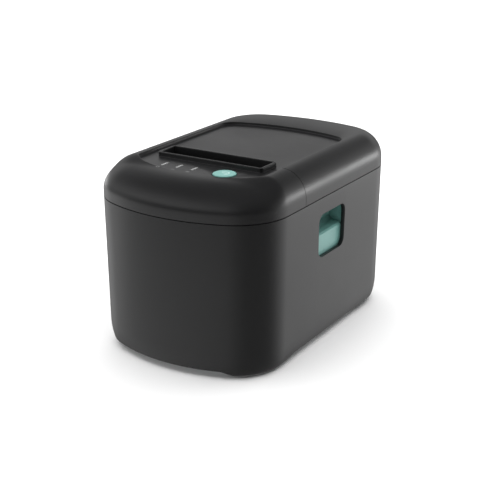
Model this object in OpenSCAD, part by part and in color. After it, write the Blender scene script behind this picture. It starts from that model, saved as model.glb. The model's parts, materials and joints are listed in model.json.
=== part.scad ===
// Desktop thermal receipt printer: a rounded case with a hinged lid, a full print mechanism,
// a guillotine cutter, a paper bay and a rear connector bay.
// Origin: middle of the footprint on the table. +Z is up, the front is -Y, the lid lever is on +X.

/* [Case] */
// width of the case at the seam
body_w = 145; // [140:1:176]
// depth of the case at the seam, between the two bowed ends
body_d = 228; // [215:1:276]
// height of the seam between the lower case and the covers
seam_z = 113.5; // [106:0.5:138]
// height of the flat top deck above the seam
deck_h = 22.5; // [20:0.5:27]
// height of the raised rim beside and behind the deck
rim_h = 2.3; // [1.5:0.1:4]
// wall thickness of the case and covers
wall = 2.8; // [2.2:0.1:3.2]
// radius of the bowed front, in plan
front_bow = 124; // [110:1:180]
// radius of the bowed rear, in plan
rear_bow = 167; // [150:1:240]
// radius of the front corners, in plan
front_round = 41; // [30:1:46]
// radius of the rear corners, in plan
rear_round = 40; // [30:1:46]
// how far the top edge rounds inwards
top_round = 18.5; // [15:0.5:20]
// how far the top edge rounds back at the front
front_roll = 33; // [28:1:34]
// height of the upright band between the seam and the rounded top edge
shoulder_h = 5.3; // [3:0.1:7]
// how much narrower the lower case is at its foot, on each side
draft = 1.2; // [0.5:0.1:2]
// height of the tucked-in band at the foot of the case
tuck_h = 20; // [12:1:26]
// depth of the tuck, on each side
tuck_in = 5.6; // [3:0.1:7]
// gap between the lower case and the covers
seam_gap = 0.5; // [0.4:0.1:0.8]

/* [Top deck] */
// distance from the front of the case to the middle of the paper exit
slot_setback = 71; // [70:0.5:80]
// front to back size of the paper exit
slot_d = 18; // [16:0.5:20]
// height of the hood round the paper exit, above the deck
hood_h = 3.2; // [2:0.1:5]
// wall thickness of the hood
hood_wall = 2; // [1.5:0.1:2.5]
// distance from the rear of the case to the rear wall of the deck
deck_back = 50; // [45:1:56]
// diameter of the feed button
button_d = 16.5; // [14:0.5:18]
// sideways position of the feed button
button_x = 23.5; // [20:0.5:28]
// length of each status light
led_l = 8; // [6:0.5:9]
// width of each status light
led_w = 2; // [1.5:0.1:2.4]
// spacing of the status lights
led_pitch = 12.5; // [10:0.5:13]

/* [Side window] */
// front to back size of the lever window
window_w = 37; // [32:1:40]
// height of the lever window
window_h = 32; // [28:1:34]
// corner radius of the lever window
window_r = 6; // [3:0.5:8]

/* [Paper and print line] */
// width of the paper
paper_w = 80; // [78:1:80]
// largest roll that fits the bay
roll_d = 83; // [76:1:84]
// radius of the rubber on the platen
platen_r = 6; // [5:0.5:6.5]
// radius of the platen's steel shaft
shaft_r = 3; // [2.5:0.5:3]
// gear module of the paper feed
feed_module = 0.75; // [0.7:0.05:0.75]
// teeth on the platen gear
platen_teeth = 26; // [24:1:26]
// teeth on the idler gear
idler_teeth = 30; // [28:1:30]
// teeth on the feed motor's pinion
pinion_teeth = 14; // [12:1:14]

/* [Cutter] */
// travel of the moving blade
blade_travel = 6.5; // [5:0.5:6.5]
// gear module of the cutter drive
cutter_module = 0.8; // [0.7:0.1:0.8]
// teeth on the cutter's pinion
cutter_teeth = 12; // [12:1:13]

/* [Fits] */
// clearance of a shaft in its bearing, on the radius
running_gap = 0.05; // [0.02:0.01:0.1]
// clearance between parts that pass each other
part_gap = 0.4; // [0.3:0.1:0.6]
// backlash of the gears at the pitch circle
backlash = 0.3; // [0.2:0.05:0.4]

/* [Smoothness] */
// steps in each curve of the case outline
arc_steps = 9; // [6:1:12]
// steps in the rounded top and foot
round_steps = 8; // [5:1:10]

/* [Hidden] */
$fn = 64;
tiny = 0.01;
front_y = -body_d / 2;
rear_y = body_d / 2;
side_x = body_w / 2;
deck_z = seam_z + deck_h;
crest_z = deck_z + rim_h;
hood_z = deck_z + hood_h;
shoulder_z = seam_z + shoulder_h;
foot_z = 1.5;
roll_extra = front_roll - top_round;
skirt_z = 5.5;
base_z = 6.5;
base_t = 2;
floor_z = base_z + base_t;

// deck
slot_y = front_y + slot_setback;
slot_half = paper_w / 2 + 2;
slot_front = slot_y - slot_d / 2;
slot_back = slot_y + slot_d / 2;
hood_half = slot_half + hood_wall;
panel_y = slot_front - 17;
split_y = slot_y + 1;
hood_split_y = slot_back - 1.3;
throat_z = seam_z + 12.7;

// paper line
paper_y = slot_y + 5.3;
platen_y = paper_y + platen_r + 0.2;
platen_z = seam_z - 1.5;
roller_half = slot_half - 1;
platen_gear_r = feed_module * platen_teeth / 2;
idler_r = feed_module * idler_teeth / 2;
pinion_r = feed_module * pinion_teeth / 2;
idler_z = platen_z - platen_gear_r - idler_r;
pinion_angle = 250;
motor_y = platen_y + (idler_r + pinion_r) * cos(pinion_angle);
motor_z = idler_z + (idler_r + pinion_r) * sin(pinion_angle);
motor_r = 17;
idler_phase = 90 + 180 / idler_teeth;
pinion_phase = pinion_angle + 180
    + ((pinion_angle - idler_phase) * idler_teeth / 360 + 0.5) * 360 / pinion_teeth;

// frame of the mechanism
plate_x = slot_half + 8;
plate_t = 1.5;
gear_x = plate_x + plate_t + 2;
gear_t = 5;
arm_x = hood_half + 1;
arm_t = 2;
bush_r = 5;

// latch and lever
latch_y = platen_y + 12;
latch_z = seam_z - 25.5;
latch_r = 2.5;
latch_pin_z = latch_z + 20;
latch_pin_r = 2;
hook_x = arm_x + arm_t + part_gap;
window_y = latch_y + 19.2;
window_z = seam_z - 29.1;
lever_out = side_x - wall - draft / 2 - 0.5;
lever_in = lever_out - 12.6;

// paper bay
bay_half = paper_w / 2 + 2;
bay_r = roll_d / 2 + 2.5;
bay_t = 2;
bay_y = platen_y + 68;
bay_z = seam_z - 35.5;
bay_side_z = seam_z - 5.5;

// lid hinge and rear bay
hinge_y = rear_y - 10;
hinge_z = seam_z - 6.5;
hinge_r = 4.5;
pin_r = 2;
lug_x = 24;
lug_t = 6;
rear_bay_half = 52;
rear_bay_y = rear_y - 16;
rear_bay_z = 12;
socket_z = 14.6;
plate_top = socket_z + 28;
power_x = -36;
power_z = socket_z + 7;
power_r = 5;

// cutter
bed_z = seam_z + 7.5;
bed_t = 1.5;
blade_z = bed_z + bed_t + 0.3;
blade_t = 0.8;
cutter_r = cutter_module * cutter_teeth / 2;
cutter_x = 38;
cutter_y = slot_y - 18.5;
rack_x = cutter_x - cutter_r;

// front panel
board_z = deck_z - 8.6;
board_t = 1.6;

boss_in = 13;
boss_rib = boss_in - wall - 0.8;
foot_spots = [
    for (s = [-1, 1]) each [[s * (side_x - 19.5), front_y + 40], [s * (side_x - 17), rear_y - 52]]
];
boss_spots = [for (s = [-1, 1], y = [front_y + 74, rear_y - 36]) [s * (side_x - boss_in), y]];
board_spots = [for (x = [-50, 50], y = [rear_y - 88, rear_y - 40]) [x, y]];

// which piece to draw

// ---- outline of the case ----

function arc_points(c, r, a0, a1, first) =
    [for (i = [first:arc_steps]) let (t = a0 + (a1 - a0) * i / arc_steps) c + r * [cos(t), sin(t)]];

// right half of a bowed outline from the front to the rear, set in by e
function half_plan(e, back, back_bow, back_round) =
    let (
        h = side_x - e,
        fr = front_round - e,
        fc = front_y + front_bow,
        fx = h - fr,
        fy = fc - sqrt(pow(front_bow - e - fr, 2) - fx * fx),
        ft = atan2(fy - fc, fx),
        br = back_round - e,
        bc = back - back_bow,
        bx = h - br,
        by = bc + sqrt(pow(back_bow - e - br, 2) - bx * bx),
        bt = atan2(by - bc, bx)
    )
    concat(
        arc_points([0, fc], front_bow - e, -90, ft, 0),
        arc_points([fx, fy], fr, ft, 0, 1),
        arc_points([bx, by], br, 0, bt, 0),
        arc_points([0, bc], back_bow - e, bt, 90, 1)
    );

function mirrored(h) = concat(h, [for (i = [len(h) - 2:-1:1]) [-h[i][0], h[i][1]]]);
function plan(e) = mirrored(half_plan(e, rear_y, rear_bow, rear_round));
// outline of the sunk deck: the case outline in front, its own rear wall behind
function deck_plan(e, back) = mirrored(half_plan(e, back + e, rear_bow, 12 + e));

function eased(t) = let (c = min(max(t, 0), 1)) c * c * (3 - 2 * c);
// the rim rises from the deck along the front corners
function rim_at(y) = deck_z + rim_h * eased((y - front_y - 34) / 16);
// moves the front of an outline back, for the wider rounding there
function rolled(points, amount) =
    [for (p = points) [p[0], p[1] + amount * (1 - eased((p[1] - front_y - 20) / 45))]];
// outline of the sunk deck, set in by e, its rear wall moved forwards by ahead
function sunk_plan(e, ahead) = rolled(deck_plan(e, rear_y - deck_back - ahead), roll_extra);

function level(points, z) = [for (p = points) [p[0], p[1], z]];
function rim_level(points, low, share, drop) =
    [for (p = points) [p[0], p[1], low + (rim_at(p[1]) - drop - low) * share]];

module loft(rings) {
    n = len(rings[0]);
    m = len(rings);
    polyhedron(
        points = [for (r = rings) each r],
        faces = concat(
            [[for (i = [0:n - 1]) i]],
            [for (k = [0:m - 2], i = [0:n - 1]) let (a = k * n, j = (i + 1) % n)
                each [[a + i, a + n + i, a + j], [a + j, a + n + i, a + n + j]]],
            [[for (i = [n - 1:-1:0]) (m - 1) * n + i]]
        ),
        convexity = 8
    );
}

module cover_outside() {
    loft(concat(
        [level(plan(0), seam_z + seam_gap / 2), level(plan(0), shoulder_z)],
        [for (i = [1:round_steps]) let (t = 90 * i / round_steps, in = 1 - cos(t))
            rim_level(rolled(plan(top_round * in), roll_extra * in), shoulder_z, sin(t), 0)],
        [
            rim_level(sunk_plan(top_round + 0.8, 0), deck_z, 1, 0),
            rim_level(sunk_plan(top_round + 1.4, 0.6), deck_z, 0.3, 0),
            level(sunk_plan(top_round + 3.4, 2.6), deck_z)
        ]
    ));
}

module cover_inside() {
    inner = top_round - 1.5;
    steps = round_steps - 2;
    loft(concat(
        [level(plan(wall), seam_z - 1), level(plan(wall), shoulder_z)],
        [for (i = [1:steps]) let (t = 90 * i / steps, in = 1 - cos(t))
            rim_level(rolled(plan(wall + (inner - wall) * in), roll_extra * in),
                shoulder_z, sin(t), wall)],
        [
            rim_level(sunk_plan(inner + 0.3, -wall), shoulder_z, 1, wall),
            level(sunk_plan(inner + 3.1, 0.5), deck_z - wall)
        ]
    ));
}

module housing_outside() {
    loft(concat(
        [for (i = [round_steps:-1:0]) let (t = 90 * i / round_steps)
            level(plan(draft + tuck_in * (1 - cos(t))), foot_z + tuck_h * (1 - sin(t)))],
        [level(plan(0), seam_z - seam_gap / 2)]
    ));
}

module housing_inside() {
    loft([
        level(plan(draft + tuck_in + wall), foot_z - 1),
        level(plan(draft + wall), foot_z + tuck_h),
        level(plan(wall), seam_z + 1)
    ]);
}

// ---- helpers ----

// a block given by its low and high corners
module block(low, high) {
    translate(low) cube(high - low);
}

// a round bar along X, from x0 to x1
module bar_x(x0, x1, y, z, r) {
    translate([x0, y, z]) rotate([0, 90, 0]) cylinder(r = r, h = x1 - x0);
}

// a flat shape drawn in the YZ plane, made solid from x0 to x1
module slab_x(x0, x1) {
    translate([x0, 0, 0]) rotate([90, 0, 90]) linear_extrude(x1 - x0) children();
}

// a flat shape drawn in the XZ plane, made solid from y0 to y1
module slab_y(y0, y1) {
    translate([0, y1, 0]) rotate([90, 0, 0]) linear_extrude(y1 - y0) children();
}

module both_sides() {
    children();
    mirror([1, 0, 0]) children();
}

// a rectangle with round corners, given by its low and high corners
module round_rect(low, high, r) {
    translate(low + [r, 0]) square(high - low - [2 * r, 0]);
    translate(low + [0, r]) square(high - low - [0, 2 * r]);
    for (x = [low[0] + r, high[0] - r], y = [low[1] + r, high[1] - r])
        translate([x, y]) circle(r);
}

// a pan-head screw pointing along +Z, with its head below z = 0
module screw(r, l, head_r, head_h) {
    difference() {
        union() {
            cylinder(r = r, h = l);
            translate([0, 0, -head_h]) cylinder(r = head_r, h = head_h);
        }
        for (a = [0, 90])
            rotate([0, 0, a])
                translate([0, 0, -head_h]) cube([head_r * 1.2, head_r * 0.25, head_h], center = true);
    }
}

// ---- involute gears ----

function polar(r, a) = [r * cos(a), r * sin(a)];
function roll(rb, r) = let (t = sqrt(max(pow(r / rb, 2) - 1, 0))) t * 180 / PI - atan(t);

function gear_points(teeth, m) =
    let (
        rp = m * teeth / 2,
        rb = rp * cos(20),
        tip = rp + m,
        root = rp - 1.25 * m,
        low = max(rb, root),
        half = 90 / teeth - backlash / 4 / rp * 180 / PI
    )
    [for (k = [0:teeth - 1]) let (c = 360 * k / teeth) each concat(
        [polar(root, c - half - roll(rb, rp) + roll(rb, low))],
        [for (i = [0:3]) let (r = low + (tip - low) * i / 3)
            polar(r, c - half - roll(rb, rp) + roll(rb, r))],
        [for (i = [3:-1:0]) let (r = low + (tip - low) * i / 3)
            polar(r, c + half + roll(rb, rp) - roll(rb, r))],
        [polar(root, c + half + roll(rb, rp) - roll(rb, low))]
    )];

module gear_shape(teeth, m, bore) {
    difference() {
        polygon(gear_points(teeth, m));
        circle(bore);
    }
}

// ---- case ----

module housing_arches() {
    slab_x(-side_x - 5, side_x + 5)
        polygon([
            [front_y + 48, foot_z - 2], [front_y + 48, foot_z - 0.1], [front_y + 54, foot_z + 0.8],
            [front_y + 60, skirt_z - 0.8], [front_y + 66, skirt_z], [rear_y + 5, skirt_z],
            [rear_y + 5, foot_z - 2]
        ]);
    slab_y(front_y - 5, front_y + 70)
        polygon([
            [-64, foot_z - 2], [-64, foot_z - 0.1], [-61, foot_z + 0.8], [-58, skirt_z - 0.8],
            [-55, skirt_z], [40, skirt_z], [44, skirt_z - 0.8], [48, foot_z + 0.8],
            [52, foot_z - 0.1], [52, foot_z - 2]
        ]);
}

module window_hole(x0, x1) {
    slab_x(x0, x1)
        round_rect([window_y - window_w / 2, window_z - window_h / 2],
            [window_y + window_w / 2, window_z + window_h / 2], window_r);
}

module lower_housing() {
    color("dimgray")
    difference() {
        union() {
            difference() {
                housing_outside();
                difference() {
                    housing_inside();
                    // walls and floor of the rear connector bay
                    block([-rear_bay_half - wall, rear_bay_y - 3, rear_bay_z - 2.5],
                        [rear_bay_half + wall, rear_y + 5, seam_z + 5]);
                }
            }
            // screw bosses tied to the side walls
            for (p = boss_spots) {
                translate([p[0], p[1], floor_z]) cylinder(r = 3.5, h = 26);
                translate([p[0] + sign(p[0]) * boss_rib / 2, p[1], floor_z + 13])
                    cube([boss_rib, 2, 26], center = true);
            }
            // hinge lugs
            both_sides() {
                block([lug_x, rear_bay_y - 1, hinge_z - hinge_r],
                    [lug_x + lug_t, hinge_y, hinge_z + hinge_r]);
                bar_x(lug_x, lug_x + lug_t, hinge_y, hinge_z, hinge_r);
            }
        }
        // the rear bay, open behind and above
        difference() {
            block([-rear_bay_half, rear_bay_y, rear_bay_z], [rear_bay_half, rear_y + 5, seam_z + 5]);
            both_sides() {
                block([lug_x, rear_bay_y - 1, hinge_z - hinge_r],
                    [lug_x + lug_t, hinge_y, hinge_z + hinge_r]);
                bar_x(lug_x, lug_x + lug_t, hinge_y, hinge_z, hinge_r);
            }
        }
        both_sides()
            bar_x(lug_x - 1, lug_x + lug_t + 1, hinge_y, hinge_z, pin_r);
        // openings behind the connector plate and for the power switch
        block([-44, rear_bay_y - 4, socket_z - 1.8], [44, rear_bay_y + 1, plate_top - 6]);
        block([-41, rear_bay_y - 4, plate_top + 12], [-28, rear_bay_y + 1, plate_top + 31]);
        for (x = [-48, 48], z = [socket_z + 4, plate_top - 4])
            translate([x, rear_bay_y - 4, z]) rotate([-90, 0, 0]) cylinder(r = 1.25, h = 6);
        for (p = boss_spots)
            translate([p[0], p[1], floor_z - 1]) cylinder(r = 1.25, h = 16);
        housing_arches();
        window_hole(side_x - 10, side_x + 5);
    }
}

module base_plate() {
    color("gray")
    difference() {
        union() {
            translate([0, 0, base_z]) linear_extrude(base_t) polygon(plan(draft + tuck_in + 2.2));
            // standoffs of the main board
            for (p = board_spots)
                translate([p[0], p[1], floor_z - tiny])
                    cylinder(r = 3, h = socket_z - 1.6 - floor_z + tiny);
        }
        for (p = board_spots)
            translate([p[0], p[1], floor_z - 1]) cylinder(r = 1.25, h = 10);
        for (p = boss_spots)
            translate([p[0], p[1], base_z - 1]) cylinder(r = 1.6, h = 5);
        for (p = foot_spots)
            translate([p[0], p[1], base_z - 1]) cylinder(r = 2.5, h = 5);
        // bracket holes
        for (x = [-40, 40], y = [-50, 50])
            translate([x, y, base_z - 1]) cylinder(r = 1.65, h = 5);
        // vents under the main board
        for (i = [-3:3])
            block([i * 10 - 2, rear_y - 78, base_z - 1], [i * 10 + 2, rear_y - 68, base_z + 5]);
    }
}

module rubber_feet() {
    color("black")
    for (p = foot_spots)
        translate([p[0], p[1], 0])
            rotate_extrude()
                polygon([
                    [0, 0], [6.5, 0], [8, 1.2], [8, base_z], [2.45, base_z], [2.45, floor_z + 0.3],
                    [3.3, floor_z + 0.3], [2.2, floor_z + 2.4], [0, floor_z + 2.4]
                ]);
}

module base_screws() {
    color("silver")
    for (p = boss_spots)
        translate([p[0], p[1], base_z]) screw(1.2, 14, 2.9, 1.8);
}

// ---- front cover and its panel ----

module slot_cut(z0, z1, back) {
    block([-slot_half, slot_front, z0], [slot_half, back, z1]);
}

module front_cover() {
    color("dimgray")
    difference() {
        union() {
            intersection() {
                difference() {
                    cover_outside();
                    cover_inside();
                }
                block([-side_x - 5, front_y - 5, seam_z - 5],
                    [side_x + 5, split_y - part_gap / 2, crest_z + 5]);
            }
            // hood and throat of the paper exit
            translate([0, 0, throat_z]) linear_extrude(hood_z - throat_z)
                intersection() {
                    round_rect([-hood_half, slot_front - hood_wall], [hood_half, slot_back + 20], 3);
                    translate([-hood_half - 1, slot_front - 5])
                        square([2 * hood_half + 2, hood_split_y - slot_front + 5 - part_gap / 2]);
                }
            // clips that reach behind the lower housing's front wall
            both_sides() {
                block([14, front_y + 6, seam_z - 7], [24, front_y + 7.8, seam_z + 5]);
                block([14, front_y + 4, seam_z + 1.5], [24, front_y + 7.8, seam_z + 5]);
            }
            // posts of the panel board
            for (x = [-42, 42])
                translate([x, panel_y - 3, board_z + board_t])
                    cylinder(r = 3, h = deck_z - wall / 2 - board_z - board_t);
        }
        slot_cut(throat_z - 5, hood_z + 5, slot_back + 30);
        translate([button_x, panel_y, board_z]) cylinder(r = button_d / 2 + part_gap - 0.05, h = 20);
        for (i = [0:2])
            translate([led_x(i), panel_y, board_z]) linear_extrude(20) led_shape(0.05);
        for (x = [-42, 42])
            translate([x, panel_y - 3, board_z]) cylinder(r = 1, h = 6);
    }
}

function led_x(i) = -26.5 + led_pitch * i;

module led_shape(gap) {
    r = led_w / 2;
    round_rect([-r - gap, -led_l / 2 - gap], [r + gap, led_l / 2 + gap], r + gap - tiny);
}

module status_lights() {
    color("white")
    for (i = [0:2])
        translate([led_x(i), panel_y, deck_z - wall - 1.5]) {
            linear_extrude(wall + 1.6) led_shape(0);
            linear_extrude(1.4) led_shape(0.9);
        }
}

module panel_board() {
    color("darkgreen")
    difference() {
        block([-48, panel_y - 17, board_z], [48, panel_y + 10, board_z + board_t]);
        for (x = [-42, 42])
            translate([x, panel_y - 3, board_z - 1]) cylinder(r = 1.3, h = 4);
    }
}

module panel_leds() {
    color("ivory")
    for (i = [0:2])
        translate([led_x(i), panel_y, board_z + board_t]) {
            block([-1.6, -0.8, 0], [1.6, 0.8, 0.5]);
            translate([0, 0, 0.5]) cylinder(r = 0.7, h = 0.4);
        }
}

module feed_switch() {
    color("black")
    translate([button_x, panel_y, board_z + board_t]) {
        block([-3, -3, 0], [3, 3, 1.9]);
        translate([0, 0, 1.9]) cylinder(r = 1.6, h = 0.5);
    }
}

module panel_screws() {
    color("silver")
    for (x = [-42, 42])
        translate([x, panel_y - 3, board_z]) screw(0.95, 5, 2.2, 1.2);
}

module feed_button() {
    color("mediumaquamarine")
    translate([button_x, panel_y, 0])
        rotate_extrude()
            polygon([
                [0, board_z + board_t + 3.7], [2.5, board_z + board_t + 3.7],
                [2.5, deck_z - wall - 0.9], [button_d / 2 + 1, deck_z - wall - 0.9],
                [button_d / 2 + 1, deck_z - wall - 0.3], [button_d / 2, deck_z - wall - 0.3],
                [button_d / 2, deck_z + 0.4], [button_d / 2 - 0.6, deck_z + 0.8],
                [0, deck_z + 0.8]
            ]);
}

// ---- boards and connectors ----

module main_board() {
    color("darkgreen")
    difference() {
        block([-55, rear_y - 94, socket_z - 1.6], [55, rear_bay_y - 4, socket_z]);
        // room for the legs of the paper bin
        both_sides()
            block([bay_half - 4.6, bay_y + 21.4, socket_z - 3],
                [bay_half + bay_t + 0.6, bay_y + 26.6, socket_z + 1]);
        for (p = board_spots)
            translate([p[0], p[1], socket_z - 3]) cylinder(r = 1.6, h = 5);
    }
}

module board_chips() {
    color("black")
    translate([0, rear_y, socket_z]) {
        block([-12, -76, 0], [8, -56, 1.6]);
        block([16, -80, 0], [26, -73, 1.4]);
        block([16, -68, 0], [26, -61, 1.4]);
        block([-38, -70, 0], [-28, -62, 2.2]);
        block([28, -62, 0], [34, -54, 4.5]);
    }
}

module board_capacitors() {
    color("midnightblue")
    for (p = [[-49.5, -57], [-49.5, -71], [49.5, -71]])
        translate([p[0], rear_y + p[1], socket_z]) {
            cylinder(r = 4.5, h = 11);
            translate([0, 0, 11]) cylinder(r = 4, h = 0.4);
        }
}

module board_screws() {
    color("silver")
    for (p = board_spots)
        translate([p[0], p[1], socket_z]) mirror([0, 0, 1]) screw(1.2, 5.4, 2.7, 1.6);
}

// a socket shell open to the rear, with a contact tongue
module socket_shell(x, w, h, depth, rim, tongue) {
    mouth = rear_bay_y + 1.4;
    difference() {
        block([x - w / 2, mouth - depth, socket_z], [x + w / 2, mouth, socket_z + h]);
        block([x - w / 2 + rim, mouth - depth + 4, socket_z + rim],
            [x + w / 2 - rim, mouth + 1, socket_z + h - rim]);
    }
    if (tongue > 0)
        block([x - w / 4, mouth - depth + 3, socket_z + rim - tiny],
            [x + w / 4, mouth - 2, socket_z + rim + tongue]);
}

module power_wells(r, y, h) {
    for (a = [90, 210, 330])
        translate([power_x + 2.6 * cos(a), y, power_z + 2.6 * sin(a)])
            rotate([-90, 0, 0]) cylinder(r = r, h = h);
}

module power_inlet() {
    color("black")
    difference() {
        block([power_x - 7, rear_bay_y - 15, socket_z], [power_x + 7, rear_bay_y + 1.4, socket_z + 14]);
        translate([power_x, rear_bay_y - 8, power_z]) rotate([-90, 0, 0]) cylinder(r = power_r, h = 12);
        power_wells(0.9, rear_bay_y - 13, 6);
    }
    // contact sleeves, set back below the floor of the bore
    color("gold")
    difference() {
        power_wells(1, rear_bay_y - 13.5, 4.5);
        power_wells(0.6, rear_bay_y - 12.5, 5);
    }
}

module usb_socket() {
    color("silver") socket_shell(-19, 12, 11, 16, 1, 0);
    color("white")
        block([-21.8, rear_bay_y - 11, socket_z + 3.9], [-16.2, rear_bay_y - 0.5, socket_z + 7.1]);
}

module network_socket() {
    color("silver") socket_shell(-1, 16, 13.5, 20, 1.4, 1);
}

module drawer_socket() {
    color("black") socket_shell(15.5, 12.5, 12, 15, 1.5, 0.8);
}

module serial_socket() {
    x0 = 30.1;
    x1 = 42.3;
    color("silver")
    difference() {
        union() {
            block([x0, rear_bay_y - 9, socket_z], [x1, rear_bay_y + 0.3, socket_z + 12.5]);
            block([x0, rear_bay_y, socket_z + 1.5], [x1, rear_bay_y + 6, socket_z + 11]);
        }
        block([x0 + 1, rear_bay_y + 1, socket_z + 2.5], [x1 - 1, rear_bay_y + 7, socket_z + 10]);
    }
}

module connector_plate() {
    color("silver")
    difference() {
        block([-51, rear_bay_y, rear_bay_z + 0.3], [51, rear_bay_y + 1, plate_top]);
        block([-43.2, rear_bay_y - 1, socket_z - 0.2], [-28.8, rear_bay_y + 2, socket_z + 14.2]);
        block([-25.2, rear_bay_y - 1, socket_z - 0.2], [-12.8, rear_bay_y + 2, socket_z + 11.2]);
        block([-9.2, rear_bay_y - 1, socket_z - 0.2], [7.2, rear_bay_y + 2, socket_z + 13.7]);
        block([9.05, rear_bay_y - 1, socket_z - 0.2], [21.95, rear_bay_y + 2, socket_z + 12.2]);
        block([29.9, rear_bay_y - 1, socket_z - 0.2], [42.5, rear_bay_y + 2, socket_z + 12.7]);
        for (x = [-48, 48], z = [socket_z + 4, plate_top - 4])
            translate([x, rear_bay_y - 1, z]) rotate([-90, 0, 0]) cylinder(r = 1.5, h = 3);
    }
}

module plate_screws() {
    color("silver")
    for (x = [-48, 48], z = [socket_z + 4, plate_top - 4])
        translate([x, rear_bay_y + 1, z]) rotate([90, 0, 0]) screw(1.2, 3.8, 2.4, 1.5);
}

module switch_body() {
    z0 = plate_top + 12;
    color("black")
    difference() {
        union() {
            block([-40.9, rear_bay_y - 12, z0 + 0.1], [-28.1, rear_bay_y + tiny, z0 + 18.9]);
            block([-42.5, rear_bay_y, z0 - 1.5], [-26.5, rear_bay_y + 1.5, z0 + 20.5]);
        }
        block([-39.4, rear_bay_y - 9, z0 + 1.6], [-29.6, rear_bay_y + 3, z0 + 17.4]);
        bar_x(-40.6, -28.4, rear_bay_y - 3, z0 + 9.5, 1);
    }
}

module power_rocker() {
    z0 = plate_top + 21.5;
    color("black")
    translate([0, rear_bay_y - 3, z0])
        rotate([8, 0, 0]) {
            difference() {
                slab_x(-39.1, -29.9)
                    polygon([
                        [-2.5, -3], [1.5, -6.4], [4.9, -7], [3.9, 0], [4.9, 7], [1.5, 6.4], [-2.5, 3]
                    ]);
                block([-36, 3.2, 3.2], [-33, 5.2, 4]);
            }
            bar_x(-40.5, -28.5, 0, 0, 1 - running_gap);
        }
}

// ---- paper bay ----

module bay_profile(r, top) {
    intersection() {
        union() {
            translate([bay_y, bay_z]) circle(r);
            translate([bay_y - r, bay_z]) square([2 * r, top - bay_z]);
        }
        translate([bay_y - r - 1, bay_z - r - 1]) square([2 * r + 2, top - bay_z + r + 1]);
    }
}

module paper_bin() {
    front_top = seam_z - 17.5;
    color("darkslategray")
    difference() {
        union() {
            slab_x(-bay_half - bay_t, bay_half + bay_t) bay_profile(bay_r + bay_t, bay_side_z);
            // legs down to the base plate
            both_sides()
                for (y = [bay_y - 30, bay_y + 22])
                    block([bay_half - 4, y, floor_z], [bay_half + bay_t, y + 4, bay_z - 20]);
        }
        slab_x(-bay_half, bay_half) bay_profile(bay_r, bay_side_z + 5);
        // low front lip where the paper leaves
        block([-bay_half, bay_y - bay_r - 5, front_top], [bay_half, bay_y - bay_r + 8, bay_side_z + 5]);
        // seat of the near-end sensor
        block([bay_half - 1, bay_y + 12, bay_z - 12], [bay_half + 5, bay_y + 20, bay_z - 4]);
    }
}

module near_end_sensor() {
    color("black")
    block([bay_half + 0.3, bay_y + 12.2, bay_z - 11.8], [bay_half + 6, bay_y + 19.8, bay_z - 4.2]);
    color("black")
    block([bay_half + bay_t + tiny, bay_y + 9, bay_z - 15], [bay_half + 6, bay_y + 23, bay_z - 1]);
}

module paper_sensor() {
    color("black") {
        block([-4, platen_y - 2, platen_z - 14], [4, platen_y + 3, platen_z - 9]);
        block([-9, platen_y - 1, platen_z - 16], [9, platen_y + 2.5, platen_z - 13.9]);
    }
}

// ---- mechanism frame and motors ----

module frame_plate() {
    top = seam_z + 8.5;
    difference() {
        slab_x(plate_x, plate_x + plate_t)
            difference() {
                polygon([
                    [slot_y - 28, floor_z], [latch_y + 8, floor_z], [latch_y + 8, seam_z + 3],
                    [platen_y + bush_r + part_gap, seam_z + 3],
                    [platen_y + bush_r + part_gap, platen_z],
                    [platen_y - bush_r - part_gap, platen_z], [platen_y - bush_r - part_gap, top],
                    [slot_y - 28, top]
                ]);
                translate([platen_y, platen_z]) circle(bush_r + part_gap);
                translate([latch_y, latch_z]) circle(latch_r + running_gap);
                // lightening hole
                round_rect([slot_y - 26, floor_z + 8], [latch_y + 2, motor_z - 24], 4);
            }
        bar_x(plate_x - 1, plate_x + plate_t + 1, slot_y + 0.5, seam_z - 15.5, 1.5);
    }
    // foot on the base plate
    difference() {
        block([plate_x - 9, slot_y - 28, floor_z], [plate_x + tiny, latch_y + 8, floor_z + plate_t]);
        for (y = [slot_y - 24, latch_y])
            translate([plate_x - 4.5, y, floor_z - 1]) cylinder(r = 1.5, h = 4);
    }
}

module mechanism_frame() {
    color("silver")
    difference() {
        union() {
            both_sides() frame_plate();
            // cross piece between the side plates, carrying the head spring and the sensor
            block([-plate_x - tiny, slot_y - 13, seam_z - 24],
                [plate_x + tiny, slot_y - 11.5, seam_z + 7.4]);
            block([-plate_x - tiny, platen_y - 1, platen_z - 17.5],
                [plate_x + tiny, platen_y + 2.5, platen_z - 16]);
        }
        // shaft of the feed motor and the seat of its boss
        bar_x(-plate_x - 3, -plate_x + 1, motor_y, motor_z, 5.2);
        bar_x(-plate_x - 3, -plate_x + 1, platen_y, idler_z, 2);
        // window for the cutter motor and the head cable
        block([cutter_x - 10, slot_y - 14, seam_z - 25], [cutter_x + 10, slot_y - 11, seam_z + 8]);
        block([-12, slot_y - 14, seam_z - 22], [12, slot_y - 11, seam_z - 16]);
    }
}

module frame_screws() {
    color("silver")
    both_sides()
        for (y = [slot_y - 24, latch_y])
            translate([plate_x - 4.5, y, floor_z + plate_t])
                mirror([0, 0, 1]) screw(1.45, 1.4, 2.8, 1.7);
}

module feed_motor() {
    color("gray")
    difference() {
        union() {
            bar_x(-plate_x + 1.5, -plate_x + 21, motor_y, motor_z, motor_r);
            bar_x(-plate_x, -plate_x + 1.6, motor_y, motor_z, motor_r + 0.2);
            bar_x(-plate_x - plate_t, -plate_x + 1, motor_y, motor_z, 5);
        }
        bar_x(-plate_x - 3, -plate_x + 12, motor_y, motor_z, 1.5 + running_gap);
    }
}

module idler_axle() {
    color("silver") {
        bar_x(-gear_x - gear_t - 1.6, -plate_x, platen_y, idler_z, 2 - 0.02);
        bar_x(-gear_x - gear_t - 1.6, -gear_x - gear_t - 0.8, platen_y, idler_z, 3.2);
    }
}

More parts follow.
